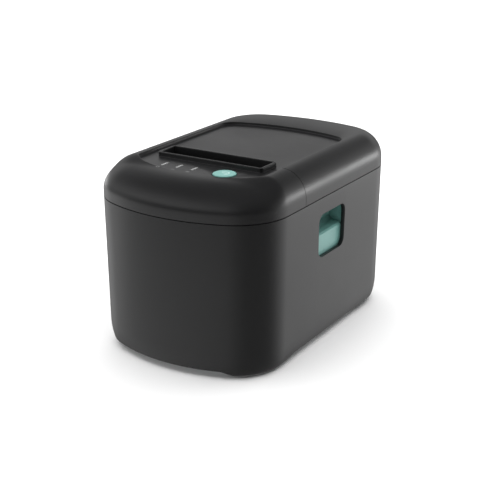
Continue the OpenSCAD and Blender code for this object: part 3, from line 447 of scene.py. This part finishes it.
def makeFrontCover():
    cover = copyOf(coverShell)
    big = 5 * mm
    combine(cover, boxMesh("frontHalf", (-halfWide - big, frontY - big, seamZ - big),
                           (halfWide + big, splitY - gap, crestZ + big)), "INTERSECT")
    hood = hoodBody()
    combine(hood, boxMesh("hoodFront", (-hoodHalf - big, slotFront - big, throatZ - big),
                          (hoodHalf + big, hoodSplitY - gap, hoodZ + big)), "INTERSECT")
    combine(cover, hood, "UNION")
    combine(cover, slotCutter(), "DIFFERENCE")
    radius = (buttonHigh.x - buttonLow.x) / 2 - mm + 0.5 * mm
    hole = cylinderZ("buttonHole", buttonX, panelY, [
        (deckZ - 8 * mm, radius), (deckZ - 0.3 * mm, radius), (deckZ - 0.08 * mm, radius + 0.06 * mm),
        (deckZ, radius + 0.2 * mm), (deckZ + 2 * mm, radius + 2 * mm)])
    combine(cover, hole, "DIFFERENCE")
    halfX, halfY = deckLook["ledHalf"]
    for x in lightX:
        outline = roundRect((x - halfX, panelY - halfY), (x + halfX, panelY + halfY), halfX - 0.02 * mm, 6)
        lightHole = ringsToMesh("lightHole", [flat(outline, deckZ - 8 * mm), flat(outline, deckZ + 3 * mm)])
        combine(cover, lightHole, "DIFFERENCE")
    cover.name = "frontCoverShell"
    shadeSmooth(cover)
    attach(cover, "case")
    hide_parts("front_cover")
    return cover


def makeLid():
    lid = copyOf(coverShell)
    big = 5 * mm
    combine(lid, boxMesh("rearHalf", (-halfWide - big, splitY + gap, seamZ - big),
                         (halfWide + big, rearY + big, crestZ + big)), "INTERSECT")
    combine(lid, boxMesh("hoodRoom", (-hoodHalf - 2 * gap, splitY - big, seamZ - big),
                         (hoodHalf + 2 * gap, hoodSplitY + gap, crestZ + big)), "DIFFERENCE")
    hood = hoodBody()
    combine(hood, boxMesh("hoodRear", (-hoodHalf - big, hoodSplitY + gap, deckZ - caseLook["wall"]),
                          (hoodHalf + big, slotBack + big, hoodZ + big)), "INTERSECT")
    combine(lid, hood, "UNION")
    combine(lid, boxMesh("throatWall", (-slotHalf, slotBack, throatZ + 0.5 * mm),
                         (slotHalf, slotBack + deckLook["hoodWall"], deckZ - 0.3 * mm)), "UNION")
    combine(lid, slotCutter(), "DIFFERENCE")
    for sign in (-1, 1):
        x0, x1 = sorted((sign * 30.3 * mm, sign * 36.3 * mm))
        arm = boxMesh("arm", (x0, hingeY - hingeRadius, hingeZ),
                      (x1, hingeY + hingeRadius, shoulderZ + 4 * mm))
        combine(arm, barX("armEnd", x0, x1, hingeY, hingeZ, hingeRadius), "UNION")
        combine(arm, barX("armBore", x0 - mm, x1 + mm, hingeY, hingeZ, 2.05 * mm), "DIFFERENCE")
        combine(lid, arm, "UNION")
    lid.name = "lidShell"
    shadeSmooth(lid)
    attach(lid, "lid")
    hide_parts("rear_lid")
    return lid


frontCoverShell = makeFrontCover()
lidShell = makeLid()
bpy.data.objects.remove(coverShell)
print("stage: covers made,", len(frontCoverShell.data.polygons), len(lidShell.data.polygons), "faces")

# shader groups


def socketOf(sockets, name):
    return next(s for s in sockets if s.name == name)


def newGroup(name, inputs, outputs):
    group = bpy.data.node_groups.new(name, "ShaderNodeTree")
    kinds = {"float": "NodeSocketFloat", "color": "NodeSocketColor", "vector": "NodeSocketVector"}
    for label, kind, value in inputs:
        made = group.interface.new_socket(label, in_out="INPUT", socket_type=kinds[kind])
        if value is not None:
            made.default_value = value
    for label, kind in outputs:
        group.interface.new_socket(label, in_out="OUTPUT", socket_type=kinds[kind])
    return group, group.nodes.new("NodeGroupInput"), group.nodes.new("NodeGroupOutput")


def addNode(tree, kind, links=(), **values):
    node = tree.nodes.new(kind)
    for key, value in values.items():
        if hasattr(node, key):
            setattr(node, key, value)
        else:
            socketOf(node.inputs, key.replace("_", " ")).default_value = value
    for target, source in links:
        spot = node.inputs[target] if isinstance(target, int) else socketOf(node.inputs, target)
        tree.links.new(source, spot)
    return node


def mathNode(tree, operation, *values):
    node = tree.nodes.new("ShaderNodeMath")
    node.operation = operation
    for i, value in enumerate(values):
        if isinstance(value, (int, float)):
            node.inputs[i].default_value = value
        else:
            tree.links.new(value, node.inputs[i])
    return node.outputs[0]


def mixColor(tree, factor, first, second, blend="MIX"):
    node = tree.nodes.new("ShaderNodeMix")
    node.data_type = "RGBA"
    node.blend_type = blend
    for index, value in ((0, factor), (6, first), (7, second)):
        if isinstance(value, bpy.types.NodeSocket):
            tree.links.new(value, node.inputs[index])
        else:
            node.inputs[index].default_value = value
    return node.outputs[2]


# fine moulded grain: a height and a slow variation of tone and gloss
def makeTextureGroup():
    group, start, end = newGroup("mouldedGrain", [
        ("Grain Size", "float", 0.0004), ("Grain Depth", "float", 1.0), ("Cloud Size", "float", 0.05)],
        [("Height", "float"), ("Cloud", "float"), ("Speck", "float")])
    where = group.nodes.new("ShaderNodeTexCoord").outputs["Object"]
    fineScale = mathNode(group, "DIVIDE", 1.0, start.outputs["Grain Size"])
    fine = addNode(group, "ShaderNodeTexNoise", [("Vector", where), ("Scale", fineScale)], Detail=3.0)
    cells = addNode(group, "ShaderNodeTexVoronoi", [
        ("Vector", where), ("Scale", mathNode(group, "DIVIDE", 0.7, start.outputs["Grain Size"]))])
    cloudScale = mathNode(group, "DIVIDE", 1.0, start.outputs["Cloud Size"])
    cloud = addNode(group, "ShaderNodeTexNoise", [("Vector", where), ("Scale", cloudScale)], Detail=4.0)
    mixed = mathNode(group, "ADD", mathNode(group, "MULTIPLY", fine.outputs["Fac"], 0.6),
                     mathNode(group, "MULTIPLY", cells.outputs["Distance"], 0.4))
    group.links.new(mathNode(group, "MULTIPLY", mixed, start.outputs["Grain Depth"]), end.inputs["Height"])
    group.links.new(cloud.outputs["Fac"], end.inputs["Cloud"])
    group.links.new(fine.outputs["Fac"], end.inputs["Speck"])
    return group


# thin handling marks that catch the light
def makeScratchGroup():
    group, start, end = newGroup("handlingMarks", [("Spread", "float", 60.0), ("Amount", "float", 0.2)],
                                 [("Mask", "float")])
    where = group.nodes.new("ShaderNodeTexCoord").outputs["Object"]
    masks = []
    for angle, stretch in ((0.6, 18.0), (2.2, 24.0)):
        turned = addNode(group, "ShaderNodeMapping", [("Vector", where)])
        turned.inputs["Rotation"].default_value = (0.3, 0.2, angle)
        turned.inputs["Scale"].default_value = (1.0, stretch, 1.0)
        noise = addNode(group, "ShaderNodeTexNoise", [
            ("Vector", turned.outputs[0]), ("Scale", start.outputs["Spread"])], Detail=2.0)
        masks.append(mathNode(group, "GREATER_THAN", noise.outputs["Fac"], 0.72))
    both = mathNode(group, "MAXIMUM", masks[0], masks[1])
    group.links.new(mathNode(group, "MULTIPLY", both, start.outputs["Amount"]), end.inputs["Mask"])
    return group


# straight brushing of sheet steel
def makeBrushGroup():
    group, start, end = newGroup("brushedLines", [("Scale", "float", 900.0), ("Stretch", "float", 0.02)],
                                 [("Lines", "float"), ("Cloud", "float")])
    where = group.nodes.new("ShaderNodeTexCoord").outputs["Object"]
    squeezed = addNode(group, "ShaderNodeCombineXYZ", [("X", start.outputs["Stretch"])], Y=1.0, Z=1.0)
    scaled = addNode(group, "ShaderNodeVectorMath", [(0, where), (1, squeezed.outputs[0])],
                     operation="MULTIPLY")
    noise = addNode(group, "ShaderNodeTexNoise", [
        ("Vector", scaled.outputs[0]), ("Scale", start.outputs["Scale"])], Detail=5.0)
    cloud = addNode(group, "ShaderNodeTexNoise", [("Vector", where)], Scale=35.0, Detail=3.0)
    group.links.new(noise.outputs["Fac"], end.inputs["Lines"])
    group.links.new(cloud.outputs["Fac"], end.inputs["Cloud"])
    return group


# small printed signs: a ring, a bar and a pair of bars in front of the status lights
def makeMarksGroup():
    group, start, end = newGroup("panelSigns", [
        ("Top", "float", deckZ), ("Row", "float", panelY - 8.3 * mm), ("First", "float", lightX[0]),
        ("Pitch", "float", 12.5 * mm)], [("Mask", "float")])
    where = group.nodes.new("ShaderNodeTexCoord").outputs["Object"]
    split = addNode(group, "ShaderNodeSeparateXYZ", [(0, where)])
    x, y, z = split.outputs
    dy = mathNode(group, "SUBTRACT", y, start.outputs["Row"])
    shapes = []
    for index in range(3):
        centre = mathNode(group, "ADD", start.outputs["First"],
                          mathNode(group, "MULTIPLY", start.outputs["Pitch"], float(index)))
        dx = mathNode(group, "SUBTRACT", x, centre)
        if index == 0:
            far = mathNode(group, "SQRT", mathNode(group, "ADD", mathNode(group, "MULTIPLY", dx, dx),
                                                   mathNode(group, "MULTIPLY", dy, dy)))
            ring = mathNode(group, "ABSOLUTE", mathNode(group, "SUBTRACT", far, 1.1 * mm))
            shapes.append(mathNode(group, "LESS_THAN", ring, 0.2 * mm))
        else:
            wide = mathNode(group, "LESS_THAN", mathNode(group, "ABSOLUTE", dx), 1.4 * mm)
            deep = mathNode(group, "ABSOLUTE", dy)
            if index == 2:
                deep = mathNode(group, "ABSOLUTE", mathNode(group, "SUBTRACT", deep, 0.6 * mm))
            shapes.append(mathNode(group, "MULTIPLY", wide, mathNode(group, "LESS_THAN", deep, 0.25 * mm)))
    total = mathNode(group, "MAXIMUM", mathNode(group, "MAXIMUM", shapes[0], shapes[1]), shapes[2])
    onTop = mathNode(group, "GREATER_THAN", z, mathNode(group, "SUBTRACT", start.outputs["Top"], 0.4 * mm))
    group.links.new(mathNode(group, "MULTIPLY", total, onTop), end.inputs["Mask"])
    return group


# a pale open ring with a bar across it, on the feed button
def makeButtonSignGroup():
    group, start, end = newGroup("buttonSign", [
        ("Across", "float", buttonX), ("Along", "float", panelY), ("Radius", "float", 3.2 * mm)],
        [("Mask", "float")])
    where = group.nodes.new("ShaderNodeTexCoord").outputs["Object"]
    split = addNode(group, "ShaderNodeSeparateXYZ", [(0, where)])
    dx = mathNode(group, "SUBTRACT", split.outputs[0], start.outputs["Across"])
    dy = mathNode(group, "SUBTRACT", split.outputs[1], start.outputs["Along"])
    far = mathNode(group, "SQRT", mathNode(group, "ADD", mathNode(group, "MULTIPLY", dx, dx),
                                           mathNode(group, "MULTIPLY", dy, dy)))
    ring = mathNode(group, "LESS_THAN", mathNode(group, "ABSOLUTE", mathNode(
        group, "SUBTRACT", far, start.outputs["Radius"])), 0.45 * mm)
    opening = mathNode(group, "GREATER_THAN", mathNode(group, "ADD", dx, dy), -1.5 * mm)
    thin = mathNode(group, "LESS_THAN", mathNode(group, "ABSOLUTE", dy), 0.45 * mm)
    short = mathNode(group, "LESS_THAN", mathNode(group, "ABSOLUTE", dx), 2.0 * mm)
    bar = mathNode(group, "MULTIPLY", thin, short)
    curve = mathNode(group, "MULTIPLY", ring, opening)
    group.links.new(mathNode(group, "MAXIMUM", curve, bar), end.inputs["Mask"])
    return group


grainGroup = makeTextureGroup()
scratchGroup = makeScratchGroup()
brushGroup = makeBrushGroup()
marksGroup = makeMarksGroup()
buttonSignGroup = makeButtonSignGroup()


def useGroup(tree, group, **values):
    node = tree.nodes.new("ShaderNodeGroup")
    node.node_tree = group
    for key, value in values.items():
        socketOf(node.inputs, key.replace("_", " ")).default_value = value
    return node


def newMaterial(name):
    material = bpy.data.materials.new(name)
    material.use_nodes = True
    tree = material.node_tree
    surface = next(n for n in tree.nodes if n.type == "BSDF_PRINCIPLED")
    return material, tree, surface


def scaledColor(color, factor):
    return (color[0] * factor, color[1] * factor, color[2] * factor, 1.0)


def plasticMaterial(name, look):
    material, tree, surface = newMaterial(name)
    grain = useGroup(tree, grainGroup, Grain_Size=look["grain"], Cloud_Size=look.get("cloud", 0.05))
    marks = useGroup(tree, scratchGroup, Amount=look.get("marks", 0.15))
    color = mixColor(tree, grain.outputs["Cloud"], scaledColor(look["color"], 0.92),
                     scaledColor(look["color"], 1.08))
    worn = mathNode(tree, "MULTIPLY", marks.outputs["Mask"], 0.25)
    color = mixColor(tree, worn, color, scaledColor(look["color"], 1.8))
    if look.get("signs"):
        signs = useGroup(tree, look.get("signGroup", marksGroup))
        strength = mathNode(tree, "MULTIPLY", signs.outputs["Mask"], look["signs"])
        color = mixColor(tree, strength, color, look.get("signColor", (0.8, 0.8, 0.8, 1)))
    tree.links.new(color, surface.inputs["Base Color"])
    rough = mathNode(tree, "ADD", look["rough"], mathNode(tree, "MULTIPLY", mathNode(
        tree, "SUBTRACT", grain.outputs["Cloud"], 0.5), look.get("roughSpread", 0.12)))
    rough = mathNode(tree, "SUBTRACT", rough, mathNode(tree, "MULTIPLY", marks.outputs["Mask"], 0.3))
    tree.links.new(rough, surface.inputs["Roughness"])
    surface.inputs["Specular IOR Level"].default_value = look.get("specular", 0.5)
    if look.get("soft"):
        surface.inputs["Subsurface Weight"].default_value = look["soft"]
        surface.inputs["Subsurface Radius"].default_value = (0.002, 0.002, 0.002)
    if look.get("coat"):
        surface.inputs["Coat Weight"].default_value = look["coat"]
        surface.inputs["Coat Roughness"].default_value = 0.25
    bump = tree.nodes.new("ShaderNodeBump")
    bump.inputs["Strength"].default_value = look["bump"]
    bump.inputs["Distance"].default_value = look["grain"] * 0.15
    tree.links.new(grain.outputs["Height"], bump.inputs["Height"])
    tree.links.new(bump.outputs["Normal"], surface.inputs["Normal"])
    return material


def metalMaterial(name, look):
    material, tree, surface = newMaterial(name)
    brush = useGroup(tree, brushGroup, Scale=look.get("scale", 900.0), Stretch=look.get("stretch", 0.03))
    tone = mathNode(tree, "MULTIPLY", brush.outputs["Lines"], brush.outputs["Cloud"])
    color = mixColor(tree, tone, scaledColor(look["color"], 0.75), scaledColor(look["color"], 1.15))
    tree.links.new(color, surface.inputs["Base Color"])
    surface.inputs["Metallic"].default_value = look.get("metallic", 1.0)
    rough = mathNode(tree, "ADD", look["rough"], mathNode(tree, "MULTIPLY", mathNode(
        tree, "SUBTRACT", brush.outputs["Lines"], 0.5), 0.25))
    tree.links.new(rough, surface.inputs["Roughness"])
    bump = tree.nodes.new("ShaderNodeBump")
    bump.inputs["Strength"].default_value = look.get("bump", 0.15)
    bump.inputs["Distance"].default_value = 0.00005
    tree.links.new(brush.outputs["Lines"], bump.inputs["Height"])
    tree.links.new(bump.outputs["Normal"], surface.inputs["Normal"])
    return material


plastics = {
    "case_plastic": {"color": (0.008, 0.008, 0.0084), "rough": 0.37, "grain": 0.00035,
        "bump": 0.12, "marks": 0.12, "specular": 0.38},
    "teal_plastic": {"color": (0.150, 0.335, 0.305), "rough": 0.40, "grain": 0.0003,
        "bump": 0.08, "marks": 0.05, "soft": 0.05},
    "black_plastic": {"color": (0.018, 0.018, 0.019), "rough": 0.45, "grain": 0.0003, "bump": 0.15},
    "inner_plastic": {"color": (0.030, 0.030, 0.032), "rough": 0.5, "grain": 0.0005, "bump": 0.2},
    "white_plastic": {"color": (0.75, 0.74, 0.70), "rough": 0.35, "grain": 0.0003,
        "bump": 0.05, "soft": 0.1},
    "light_lens": {"color": (0.15, 0.152, 0.151), "rough": 0.22, "grain": 0.0006, "bump": 0.04,
        "soft": 0.15, "coat": 0.4},
    "gear_plastic": {"color": (0.70, 0.67, 0.58), "rough": 0.4, "grain": 0.0004, "bump": 0.08,
        "soft": 0.1},
    "circuit_board": {"color": (0.012, 0.10, 0.045), "rough": 0.32, "grain": 0.0006,
        "bump": 0.2, "coat": 0.3},
    "ceramic": {"color": (0.80, 0.79, 0.74), "rough": 0.25, "grain": 0.0003, "bump": 0.05,
        "coat": 0.5},
    "foot_rubber": {"color": (0.014, 0.014, 0.014), "rough": 0.75, "grain": 0.0005,
        "bump": 0.4, "specular": 0.3},
    "roller_rubber": {"color": (0.028, 0.028, 0.030), "rough": 0.65, "grain": 0.0002,
        "bump": 0.3, "specular": 0.3},
    "ribbon": {"color": (0.70, 0.70, 0.68), "rough": 0.4, "grain": 0.0005, "bump": 0.1},
}
metals = {
    "steel": {"color": (0.60, 0.61, 0.62), "rough": 0.34},
    "screw_steel": {"color": (0.55, 0.56, 0.58), "rough": 0.3, "scale": 2500.0},
    "blade_steel": {"color": (0.70, 0.71, 0.73), "rough": 0.2, "stretch": 0.01},
    "motor_metal": {"color": (0.10, 0.10, 0.105), "rough": 0.4, "metallic": 0.6},
    "brass": {"color": (0.72, 0.52, 0.22), "rough": 0.3},
    "aluminium": {"color": (0.72, 0.73, 0.74), "rough": 0.38},
}
library = {name: plasticMaterial(name, look) for name, look in plastics.items()}
library.update({name: metalMaterial(name, look) for name, look in metals.items()})
library["panel_plastic"] = plasticMaterial("panel_plastic", dict(plastics["case_plastic"], signs=0.22))
library["button_plastic"] = plasticMaterial("button_plastic", dict(
    plastics["teal_plastic"], signs=0.5, signGroup=buttonSignGroup, signColor=(0.62, 0.72, 0.70, 1)))

slotOf = {entry["node"]: entry["material_slot"] for entry in frame["record"]["subparts"]}
for name, node in nodes.items():
    node.data.materials.clear()
    node.data.materials.append(library[slotOf[name]])
    shadeSmooth(node, 28)
nodes["feed_button"].data.materials[0] = library["button_plastic"]
shellLooks = ((housingShell, "case_plastic"), (lidShell, "case_plastic"),
              (frontCoverShell, "panel_plastic"))
for shell, look in shellLooks:
    shell.data.materials.clear()
    shell.data.materials.append(library[look])
print("stage: materials set,", len(library), "kinds")

# studio

studio = {
    "floorColor": (0.90, 0.90, 0.90),
    "ceiling": 0.10,
    "ceilingFront": 1.3,
    "wall": 0.85,
    "low": 0.30,
    "lowLeft": 1.0,
    "lowFront": 0.75,
    "lowRight": 1.15,
    "floorPower": 150.0,
    "rightPower": 2.9,
    "leftPower": 0.8,
}

floorMesh = bpy.data.meshes.new("floor")
far = 6.0
floorMesh.from_pydata([(-far, -far, 0), (far, -far, 0), (far, far, 0), (-far, far, 0)], [], [(0, 1, 2, 3)])
floor = bpy.data.objects.new("floor", floorMesh)
bpy.context.scene.collection.objects.link(floor)
floorMaterial, floorTree, floorSurface = newMaterial("floorPaper")
paper = useGroup(floorTree, grainGroup, Grain_Size=0.002, Cloud_Size=0.4)
floorTree.links.new(mixColor(floorTree, paper.outputs["Cloud"], scaledColor(studio["floorColor"], 0.985),
                             scaledColor(studio["floorColor"], 1.015)), floorSurface.inputs["Base Color"])
floorSurface.inputs["Roughness"].default_value = 0.9
floorMesh.materials.append(floorMaterial)
floor.visible_glossy = False

world = bpy.data.worlds.new("studioWorld")
bpy.context.scene.world = world
world.use_nodes = True
bpy.context.scene.view_settings.view_transform = "Standard"


# smooth change from start to end while value goes from low to high
def rampNode(tree, value, low, high, start, end):
    node = tree.nodes.new("ShaderNodeMapRange")
    node.interpolation_type = "SMOOTHSTEP"
    tree.links.new(value, node.inputs[0])
    for index, number in enumerate((low, high, start, end), 1):
        node.inputs[index].default_value = number
    return node.outputs[0]


# how far a direction points toward one side
def sideMask(tree, direction, toward, low, high):
    node = addNode(tree, "ShaderNodeVectorMath", [(0, direction)], operation="DOT_PRODUCT")
    node.inputs[1].default_value = toward
    return rampNode(tree, node.outputs["Value"], low, high, 0.0, 1.0)


# a bright wall behind, a dim ceiling, and soft panels below the horizon at the front left and right
def lightWorld():
    tree = world.node_tree
    background = next(n for n in tree.nodes if n.type == "BACKGROUND")
    direction = tree.nodes.new("ShaderNodeTexCoord").outputs["Generated"]
    up = addNode(tree, "ShaderNodeSeparateXYZ", [(0, direction)]).outputs[2]
    above = rampNode(tree, up, 0.02, 0.2, 0.0, 1.0)
    high = rampNode(tree, up, 0.34, 0.46, 0.0, 1.0)
    below = rampNode(tree, up, -0.12, 0.1, 1.0, 0.0)
    behind = sideMask(tree, direction, (-0.52, 0.85, 0.0), -0.7, 0.4)
    front = sideMask(tree, direction, (-0.52, -0.85, 0.0), 0.1, 0.95)
    right = sideMask(tree, direction, (0.55, 0.83, 0.0), 0.68, 0.96)
    left = sideMask(tree, direction, (-0.99, 0.1, 0.0), 0.8, 0.97)
    band = mathNode(tree, "MULTIPLY", above, mathNode(tree, "SUBTRACT", 1.0, high))
    wall = mathNode(tree, "MULTIPLY", band, behind)
    panels = mathNode(tree, "ADD", mathNode(tree, "MULTIPLY", front, studio["lowFront"]),
                      mathNode(tree, "MULTIPLY", right, studio["lowRight"]))
    panels = mathNode(tree, "ADD", panels, mathNode(tree, "MULTIPLY", left, studio["lowLeft"]))
    total = mathNode(tree, "MULTIPLY", wall, studio["wall"])
    ceiling = mathNode(tree, "MULTIPLY", front, studio["ceilingFront"])
    ceiling = mathNode(tree, "ADD", ceiling, studio["ceiling"])
    total = mathNode(tree, "ADD", total, mathNode(tree, "MULTIPLY", high, ceiling))
    panels = mathNode(tree, "ADD", panels, studio["low"])
    total = mathNode(tree, "ADD", total, mathNode(tree, "MULTIPLY", below, panels))
    tree.links.new(mathNode(tree, "ADD", total, 0.03), background.inputs["Strength"])
    background.inputs["Color"].default_value = (1.0, 1.0, 1.0, 1.0)


lightWorld()


def softLight(name, place, target, size, power, shine=True):
    data = bpy.data.lights.new(name, "AREA")
    data.shape = "RECTANGLE"
    data.size, data.size_y = size
    data.energy = power
    lamp = bpy.data.objects.new(name, data)
    bpy.context.scene.collection.objects.link(lamp)
    lamp.location = place
    lamp.rotation_euler = (Vector(target) - Vector(place)).to_track_quat("-Z", "Y").to_euler()
    lamp.visible_glossy = shine
    return lamp


middle = (0, 0, 0.07)
softLight("floorTop", (-0.3, 0.9, 2.2), (-0.3, 0.9, 0), (4.4, 4.4), studio["floorPower"], shine=False)
softLight("panelRight", (0.72, 0.98, 0.14), middle, (0.6, 0.16), studio["rightPower"])
softLight("panelLeft", (-1.1, 0.42, 0.10), middle, (0.35, 0.2), studio["leftPower"])

view = {"azimuth": 31.6, "elevation": 19.7, "distance": 0.842, "lens": 82.5, "aim": (0.0, 0.0, 0.0604),
        "shift": (-0.017, 0.0072)}
cameraData = bpy.data.cameras.new("mainCamera")
cameraData.lens = view["lens"]
cameraData.sensor_width = 36
cameraData.shift_x, cameraData.shift_y = view["shift"]
camera = bpy.data.objects.new("mainCamera", cameraData)
bpy.context.scene.collection.objects.link(camera)
turn, tilt = math.radians(view["azimuth"]), math.radians(view["elevation"])
back = Vector((math.sin(turn) * math.cos(tilt), -math.cos(turn) * math.cos(tilt), math.sin(tilt)))
camera.location = Vector(view["aim"]) + back * view["distance"]
camera.rotation_euler = (-back).to_track_quat("-Z", "Y").to_euler()
bpy.context.scene.camera = camera
print("stage: studio and camera set")
